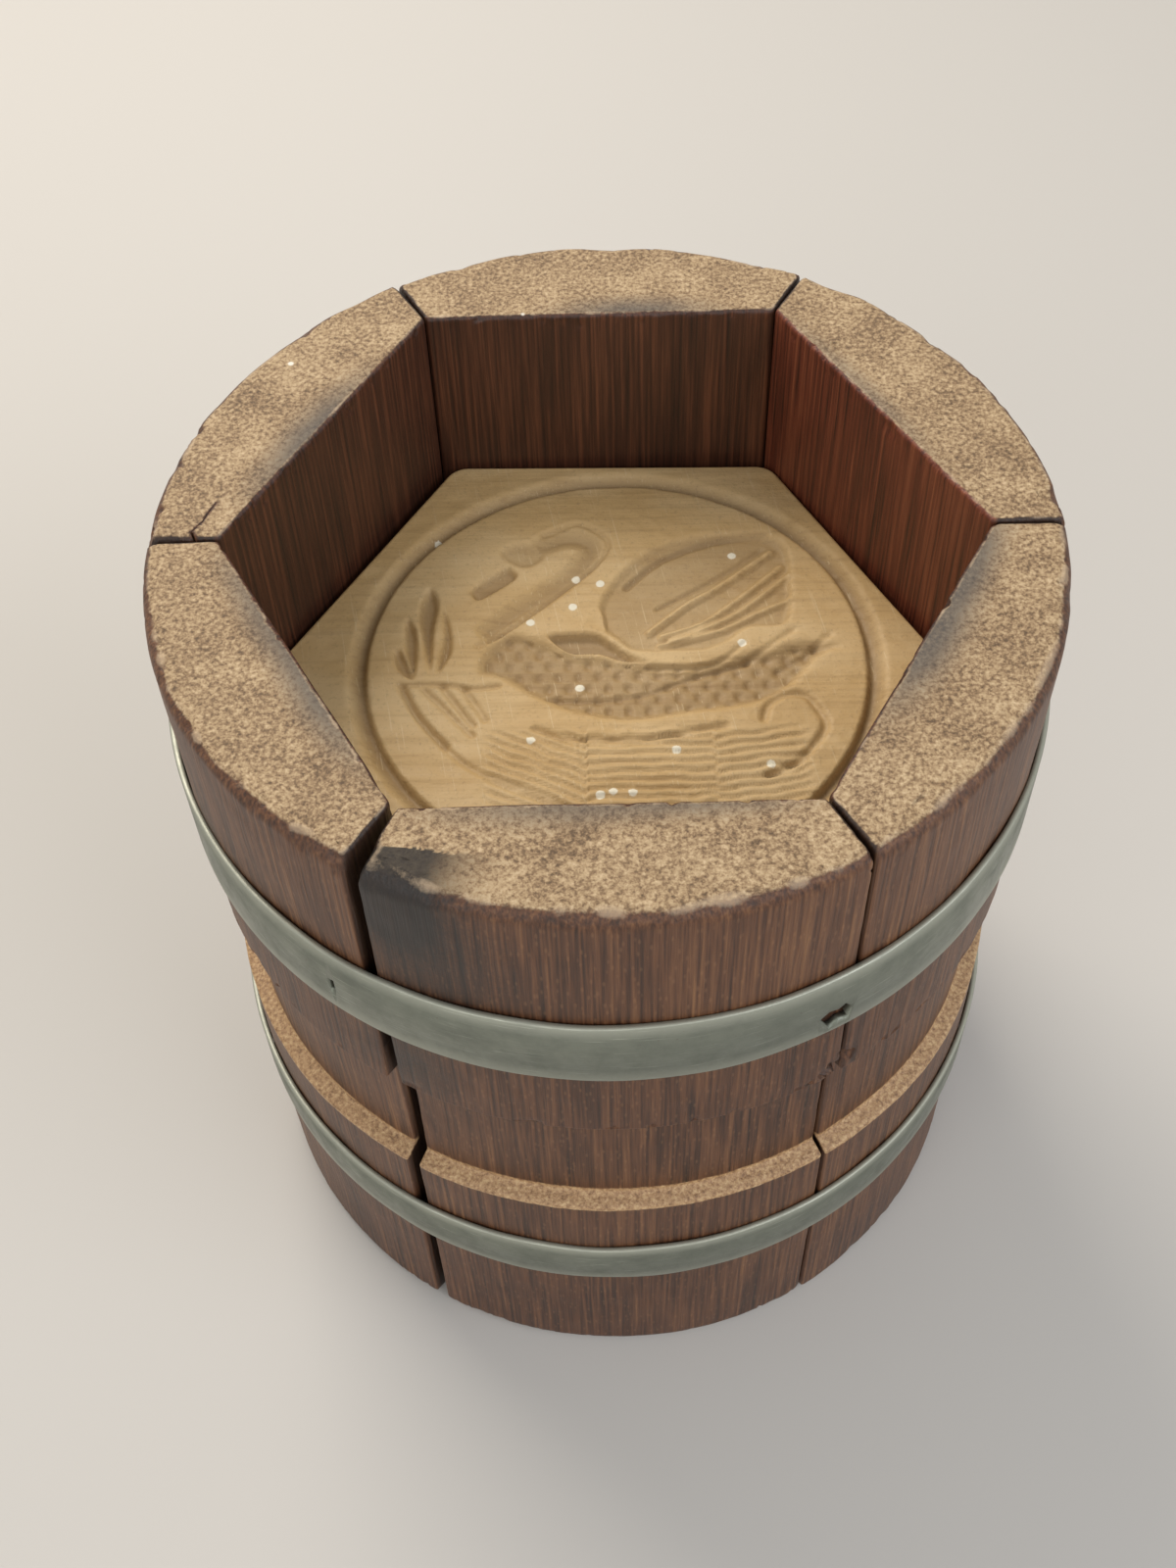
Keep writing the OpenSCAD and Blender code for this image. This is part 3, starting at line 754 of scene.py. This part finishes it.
# Strokes have a depth, positive where cut and negative where left standing, a half width,
# and a line
STROKES = [
    (0.75, 2.6, [(-9, 30), (-4.8, 31.6), (-1.2, 30.2), (-1.6, 26.5), (-5, 22.3), (-9, 18.4), (-13, 15.2), (-17.5, 11)]),
    (0.5, 0.7, [(-9, 32.5), (-4.5, 34.6), (-1.5, 34.3), (2, 30.5), (0, 25.5), (-7, 18.5), (-13, 12.5), (-19.5, 7.5)]),
    (-0.7, 0.9, [(8.5, 10), (15, 16), (20, 19.5), (29.5, 27.5)]),
    (-0.7, 0.9, [(10.5, 9), (17, 11.5), (22, 15.5), (31, 24)]),
    (-0.6, 0.8, [(12, 8), (18, 10.7), (24, 14.5), (32, 22)]),
    (-0.6, 0.8, [(10, 7), (20, 10), (27, 14), (32, 16.5)]),
    (0.6, 0.8, [(5, 20.5), (11, 26.5), (20, 30.5), (29, 31.5)]),
    (0.4, 0.6, [(10, 15.5), (20, 22), (28, 28.5)]),
    (-0.5, 1.2, [(-6, 13), (-4.5, 15.5), (0, 14), (0.5, 11)]),
    (0.35, 0.7, [(-8, -3.5), (0, -3.8), (8, -2.5), (14, 0), (20, 2), (24, 3.5), (32, 9.5)]),
    (0.35, 0.6, [(8, 2.5), (15, 2.2), (20, 3.5), (24, 7)]),
    (0.35, 0.6, [(29, 1.5), (34, 5), (38, 8.5)]),
    (0.5, 0.7, [(-32, -0.4), (-25, -0.5), (-20, -1.5), (-16, -1)]),
    (0.6, 0.8, [(-31.5, -1.5), (-29, -6.5), (-24, -13)]),
    (0.6, 0.8, [(-28, -1.5), (-25, -5), (-20, -11)]),
    (0.6, 0.8, [(-25, -1), (-22, -6), (-20, -9)]),
    (0.5, 0.8, [(-21.5, -1.5), (-18, -8)]),
    (0.5, 0.8, [(-31.5, -0.5), (-27.5, -9), (-20, -17.5), (-10, -23), (-5, -25.5)]),
    (0.5, 0.8, [(-10, -10), (-5, -12), (2, -12.8), (8, -12.5), (15, -11), (20, -10)]),
    (0.6, 0.9, [(26, -9), (27, -6), (30, -4), (33, -4.5), (35, -8), (35.5, -11), (33, -15), (30, -18), (26, -20)]),
]
LIME_SPECKS = [(-3.5, 22.8), (0.6, 20.7), (-4, 15.6), (-11, 12.3), (-3, -1), (23, 27.3), (23.5, 7),
    (-27, 32), (12, -14.7), (26.5, -18), (2, -22.5), (5, -22.8), (0, -23.2), (-10.7, -12.2)]
CARVING_OFFSET = (1.5, 1.0)
RING_CENTRE = (1.5, 2.5)
RING_R = 40.2
RING_W = 3.8


def flowing(points, closed):
    """A Catmull-Rom spline through points, five steps to each span."""
    p = np.array(points, float)
    p = np.concatenate([p[-1:], p, p[:2]]) if closed else np.concatenate([p[:1], p, p[-1:]])
    t = np.linspace(0, 1, 5, endpoint=False)[None, :, None]
    a, b, c, d = p[:-3, None], p[1:-2, None], p[2:-1, None], p[3:, None]
    line = 0.5 * (2 * b + (c - a) * t + (2 * a - 5 * b + 4 * c - d) * t**2 + (3 * b - a - 3 * c + d) * t**3)
    return np.concatenate([line.reshape(-1, 2), p[-2:-1]])


def distance_to(line, x, y):
    """Least distance from each point to the line's straight spans."""
    least = np.full(x.shape, np.inf)
    for (ax, ay), (bx, by) in zip(line[:-1], line[1:]):
        dx, dy = bx - ax, by - ay
        t = np.clip(((x - ax) * dx + (y - ay) * dy) / max(dx * dx + dy * dy, 1e-9), 0, 1)
        least = np.minimum(least, np.hypot(x - ax - t * dx, y - ay - t * dy))
    return least


def within(line, x, y):
    """Whether each point lies inside a closed line: a ray to +X crosses it an odd number
    of times."""
    crossings = np.zeros(x.shape, int)
    for (ax, ay), (bx, by) in zip(line[:-1], line[1:]):
        if ay != by:
            crossings += ((ay > y) != (by > y)) & (x < (bx - ax) * (y - ay) / (by - ay) + ax)
    return crossings % 2 == 1


def carving_height(x, y, depth):
    """Height of the carved face: the deepest of the sunk shapes, each sloping in from its
    outline, less the cuts and plus the ridges, with chip cuts over the body, rows of water
    below it, and the ring groove that is steep inside and slopes away outside."""
    cx, cy = x + CARVING_OFFSET[0], y + CARVING_OFFSET[1]
    sunk = np.zeros_like(x)
    body = None
    for share, slope, outline in SUNK_SHAPES:
        line = flowing(outline, True)
        inside = within(line, cx, cy)
        body = inside if body is None else body
        sunk = np.maximum(sunk, share * inside * smooth(0, slope, distance_to(line, cx, cy)))
    for share, half, points in STROKES:
        cut = share * np.clip(1 - distance_to(flowing(points, False), cx, cy) / half, 0, 1) ** 0.8
        sunk = np.maximum(sunk, cut) if half > 2 else sunk + 0.8 * cut
    row = np.floor(cy / 2.4)
    chips = np.maximum(np.cos(2 * np.pi * (cx / 3.2 + 0.5 * row)), 0) * np.abs(np.sin(np.pi * cy / 2.4))
    sunk += 0.25 * chips * body * (sunk > 0.5)
    slope = np.where(cx < -2, -0.5, np.where(cx > 18, 0.15, 0.0))
    lines = np.maximum(np.cos(2 * np.pi * (cy - slope * cx) / 1.7 + 0.6 * drift(np.stack([cx, cy], -1), 9, 71)), 0)
    pool = smooth(-19, -16, cx) * (1 - smooth(31, 34, cx)) * smooth(-27, -25, cy) * (1 - smooth(-12, -9.5, cy))
    sunk += 0.32 * lines * pool * ~body
    away = np.hypot(x - RING_CENTRE[0], y - RING_CENTRE[1]) - RING_R
    sunk += smooth(0, 0.8, away) * (1 - smooth(1.0, RING_W, away)) * 0.95
    return -depth * np.clip(sunk, 0, 1.15)


def hexagon_reach(angle):
    """Distance from the middle to the edge of the stamp: its flats, or near a corner the
    arc that rounds it."""
    off = (angle + math.pi / 6) % (math.pi / 3) - math.pi / 6
    centre = (STAMP_AF / 2 - STAMP_CORNER) / math.cos(HALF_STAVE)
    arc = centre * np.cos(off) + np.sqrt(np.maximum(STAMP_CORNER**2 - (centre * np.sin(off)) ** 2, 0))
    meets = math.atan2(STAMP_CORNER / 2, centre + STAMP_CORNER * math.cos(HALF_STAVE))
    return np.where(np.abs(off) < meets, arc, STAMP_AF / 2 / np.cos(HALF_STAVE - np.abs(off)))


def build_stamp(depth, colour):
    """The stamp as one closed polar grid: out over the carved face, round its worn edge,
    down its side, in under it, up the socket and in to the middle."""
    columns, socket, socket_depth, soft = 540, 8.02, 10.0, 0.8
    angle = np.linspace(0, 2 * np.pi, columns, endpoint=False)
    reach = hexagon_reach(angle)
    face = np.linspace(0, 1, 124)[:, None] * (reach - soft)
    bend = np.linspace(0, np.pi / 2, 6)[1:, None]
    edge = reach - soft * (1 - np.sin(bend))
    under = reach - soft + (socket - reach + soft) * np.linspace(0, 1, 8)[:, None]
    radius = np.concatenate([face, edge, edge[::-1], under, 0 * angle[None] + socket, 0 * angle[None]])
    drop = soft * (1 - np.cos(bend)) + 0 * reach
    height = np.concatenate([
        STAMP_TOP + 0 * face, STAMP_TOP - drop, SHOULDER_Z + drop[::-1], SHOULDER_Z + 0 * under,
        SHOULDER_Z + socket_depth + 0 * angle[None], SHOULDER_Z + socket_depth + 0 * angle[None]])
    turned = angle + math.radians(STAMP_TURN)
    x = radius * np.cos(turned) + STAMP_SHIFT
    y = radius * np.sin(turned)
    carved = np.zeros_like(x)
    carved[:124] = carving_height(x[:124], y[:124], depth)
    speck = np.zeros_like(x)
    for sx, sy in LIME_SPECKS:
        away = np.hypot(x[:124] + CARVING_OFFSET[0] - sx, y[:124] + CARVING_OFFSET[1] - sy)
        speck[:124] = np.maximum(speck[:124], np.clip(1 - away / 0.9, 0, 1))
    points = np.stack([x, y, height + carved + 0.15 * speck], -1)
    points[:124, :, 2] -= 0.05 * np.abs(drift(points[:124], 5, 81))
    # The carving's depth as a mask, which the stamp's colour uses for painted shade in the cuts
    masks = {"carved": -carved / depth, "speck": speck}
    piece = make_piece("stamp_plate_carved", points.reshape(-1, 3), closed_grid(len(points), columns), masks)
    dress(piece, bare_wood("carved_maple_stamp", colour, True), "stamp", "stamp_wood", "stamp_plate")


def bare_wood(name, colour, carved):
    """Bare maple, scrubbed pale. It gives a golden tan with soft grain 1.2 mm across, specks,
    and on the stamp painted shade that darkens the cuts with their depth, fine scratches and spots of lime."""
    material, tree, mm = start_material(name)
    if carved:
        mm = add(tree, "ShaderNodeMapping", {"Vector": mm, "Rotation": (0, math.radians(90), 0)})
    grain = grown(tree, mm, 1.2, 34, 4.0)
    cloud = grown(tree, mm, 14, 30)
    speck = grown(tree, mm, 0.7, 0.7, 3.0, 0.7)
    layers = [
        (grain, 0.5, 0.75, 0.45, "#94744A"),
        (cloud, 0.42, 0.65, 0.5, "#DCC192"),
        (speck, 0.55, 0.75, 0.35, "#7B6142"),
    ]
    if carved:
        cut = add(tree, "ShaderNodeAttribute", out="Fac", attribute_name="carved")
        lime = add(tree, "ShaderNodeAttribute", out="Fac", attribute_name="speck")
        side = add(tree, "ShaderNodeMapping", {"Vector": mm, "Rotation": (math.radians(80), 0, 0)})
        scratch = grown(tree, side, 0.35, 16, 1.0)
        layers += [
            # Darker with the carving's depth: painted shade in the cuts
            (cut, 0.1, 1.0, 0.62, "#765C3C"),
            (scratch, 0.66, 0.74, 0.35, "#E0CCA4"),
            (lime, 0.1, 0.3, 1.0, "#EFE8D2"),
        ]
    shade = layered(tree, tuple(colour) + (1.0,), layers)
    rough = add(tree, "ShaderNodeMapRange", {0: grain, 1: 0.3, 2: 0.7, 3: 0.5, 4: 0.68})
    relief = add(tree, "ShaderNodeMath", {0: speck, 1: 0.5, 2: grain}, operation="MULTIPLY_ADD")
    finish_material(tree, shade, rough, relief, 0.2, IOR=1.5)
    return material


class MOULD_OT_stamp(bpy.types.Operator):
    """Models the carved stamp, and finishes its turned handle"""

    bl_idname = "mould.stamp"
    bl_label = "Stamp and handle"

    def execute(self, context):
        settings = context.scene.butter_mould
        build_stamp(settings.carving_depth, settings.stamp_colour)
        wood = bare_wood("turned_maple_handle", settings.handle_colour, False)
        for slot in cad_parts["stamp_handle"].material_slots:
            slot.material = wood
        return {"FINISHED"}


CAMERA_LENS = 42.0
CAMERA_PLACE = (0.0, -191.3, 336.8)
CAMERA_PITCH = 52.97
CAMERA_YAW = -1.14
CAMERA_ROLL = -2.17


def make_camera():
    """The photograph's view: from the front and above, looking down at the rim."""
    data = bpy.data.cameras.new("camera")
    data.lens = CAMERA_LENS
    data.clip_start = 0.01
    camera = bpy.data.objects.new("camera", data)
    bpy.context.scene.collection.objects.link(camera)
    pitch, yaw, roll = (math.radians(a) for a in (CAMERA_PITCH, CAMERA_YAW, CAMERA_ROLL))
    ahead = Vector((math.sin(yaw) * math.cos(pitch), math.cos(yaw) * math.cos(pitch), -math.sin(pitch)))
    right = ahead.cross(Vector((0, 0, 1))).normalized()
    up = right.cross(ahead)
    across = math.cos(roll) * right + math.sin(roll) * up
    upright = math.cos(roll) * up - math.sin(roll) * right
    turn = Matrix((across, upright, -ahead)).transposed().to_4x4()
    camera.matrix_world = Matrix.Translation(Vector(CAMERA_PLACE) * MM) @ turn
    bpy.context.scene.camera = camera


def make_lamp(name, place, size, power, colour="#FFFFFF"):
    """A square area lamp that faces the mould's rim."""
    data = bpy.data.lights.new(name, "AREA")
    data.size = size
    data.energy = power
    data.color = linear(colour)[:3]
    lamp = bpy.data.objects.new(name, data)
    bpy.context.scene.collection.objects.link(lamp)
    lamp.location = place
    lamp.rotation_mode = "QUATERNION"
    lamp.rotation_quaternion = (Vector(place) - Vector((0, 0, 0.1))).to_track_quat("Z", "Y")


def pale_world(strength):
    """A plain light sky, which the camera and reflections see as a pale background."""
    world = bpy.data.worlds.new("studio")
    bpy.context.scene.world = world
    world.use_nodes = True
    tree = world.node_tree
    tree.nodes.clear()
    path = add(tree, "ShaderNodeLightPath", out=None)
    seen = add(tree, "ShaderNodeMath", {
        0: path.outputs["Is Camera Ray"], 1: path.outputs["Is Glossy Ray"]}, operation="MAXIMUM")
    seen = add(tree, "ShaderNodeMath", {0: seen, 1: path.outputs["Is Transmission Ray"]}, operation="MAXIMUM")
    lit = add(tree, "ShaderNodeBackground", {"Color": linear("#F4F2EE"), "Strength": strength})
    shown = add(tree, "ShaderNodeBackground", {"Color": linear("#E4E2DD"), "Strength": 0.9})
    both = add(tree, "ShaderNodeMixShader", {0: seen, 1: lit, 2: shown})
    add(tree, "ShaderNodeOutputWorld", {"Surface": both}, out=None)


def floor_material():
    """Matt painted board: pale, with no pattern, so that only the mould's shadow shows."""
    material, tree, _ = start_material("matt_pale_board")
    shader = add(tree, "ShaderNodeBsdfPrincipled", {"Base Color": linear("#C9C6C1"), "Roughness": 0.85})
    add(tree, "ShaderNodeOutputMaterial", {"Surface": shader}, out=None)
    return material


class MOULD_OT_stage(bpy.types.Operator):
    """Makes the pale floor, the lamps, the sky and the camera"""

    bl_idname = "mould.stage"
    bl_label = "Stage"

    def execute(self, context):
        wide = 6.0
        mesh = bpy.data.meshes.new("floor")
        mesh.from_pydata([(-wide, -wide, 0), (wide, -wide, 0), (wide, wide, 0), (-wide, wide, 0)], [], [(0, 1, 2, 3)])
        floor = bpy.data.objects.new("floor", mesh)
        context.scene.collection.objects.link(floor)
        floor.data.materials.append(floor_material())
        power = context.scene.butter_mould.lamp_power
        make_lamp("key", (-0.35, 0.55, 0.8), 0.5, power, "#FFF6EA")
        make_lamp("fill", (0.7, -0.5, 0.6), 0.8, power * 0.65, "#F2F6FF")
        make_lamp("front", (-0.4, -0.8, 0.5), 0.8, power * 0.4)
        pale_world(0.5)
        make_camera()
        context.scene.view_settings.view_transform = "Standard"
        return {"FINISHED"}


class ButterMouldSettings(bpy.types.PropertyGroup):
    """Sizes in millimetres and colours that a user would change"""

    rim_round: bpy.props.FloatProperty(
        name="Rim rounding", description="Radius of the rim's worn outer edge, in mm", default=2.3, min=1, max=4)
    corner_wear: bpy.props.FloatProperty(
        name="Corner wear", description="Width over which a stave's corners are worn, in mm", default=0.38, min=0.1)
    hoop_dent: bpy.props.FloatProperty(
        name="Hoop waviness", description="How far a hoop's edges wander, in mm", default=0.1, min=0, max=0.5)
    carving_depth: bpy.props.FloatProperty(
        name="Carving depth", description="Depth of the stamp's carving, in mm", default=1.6, min=0.5, max=3)
    iron_colour: bpy.props.FloatVectorProperty(
        name="Iron", description="Colour of the hoops", subtype="COLOR", default=linear("#7C8074")[:3])
    stamp_colour: bpy.props.FloatVectorProperty(
        name="Stamp", description="Colour of the stamp's wood", subtype="COLOR",
        default=linear("#C6A570")[:3])
    handle_colour: bpy.props.FloatVectorProperty(
        name="Handle", description="Colour of the handle's wood", subtype="COLOR", default=linear("#97714A")[:3])
    lamp_power: bpy.props.FloatProperty(
        name="Key lamp", description="Power of the key lamp", default=7.0, min=0, unit="POWER")


class MOULD_PT_panel(bpy.types.Panel):
    """Lists the mould's settings and the operators that make its pieces"""

    bl_idname = "MOULD_PT_panel"
    bl_label = "Butter mould"
    bl_space_type = "VIEW_3D"
    bl_region_type = "UI"
    bl_category = "Butter mould"

    def draw(self, context):
        settings = context.scene.butter_mould
        for key in ButterMouldSettings.__annotations__:
            self.layout.prop(settings, key)
        for item in OPERATORS:
            self.layout.operator(item.bl_idname)


OPERATORS = (MOULD_OT_stage, MOULD_OT_staves, MOULD_OT_hoops, MOULD_OT_stamp)
CLASSES = (ButterMouldSettings, *OPERATORS, MOULD_PT_panel)


def register():
    for item in CLASSES:
        bpy.utils.register_class(item)
    bpy.types.Scene.butter_mould = bpy.props.PointerProperty(type=ButterMouldSettings)


def unregister():
    del bpy.types.Scene.butter_mould
    for item in reversed(CLASSES):
        bpy.utils.unregister_class(item)


def main():
    register()
    bpy.ops.mould.stage()
    bpy.ops.mould.staves()
    bpy.ops.mould.hoops()
    bpy.ops.mould.stamp()


if __name__ == "__main__":
    main()
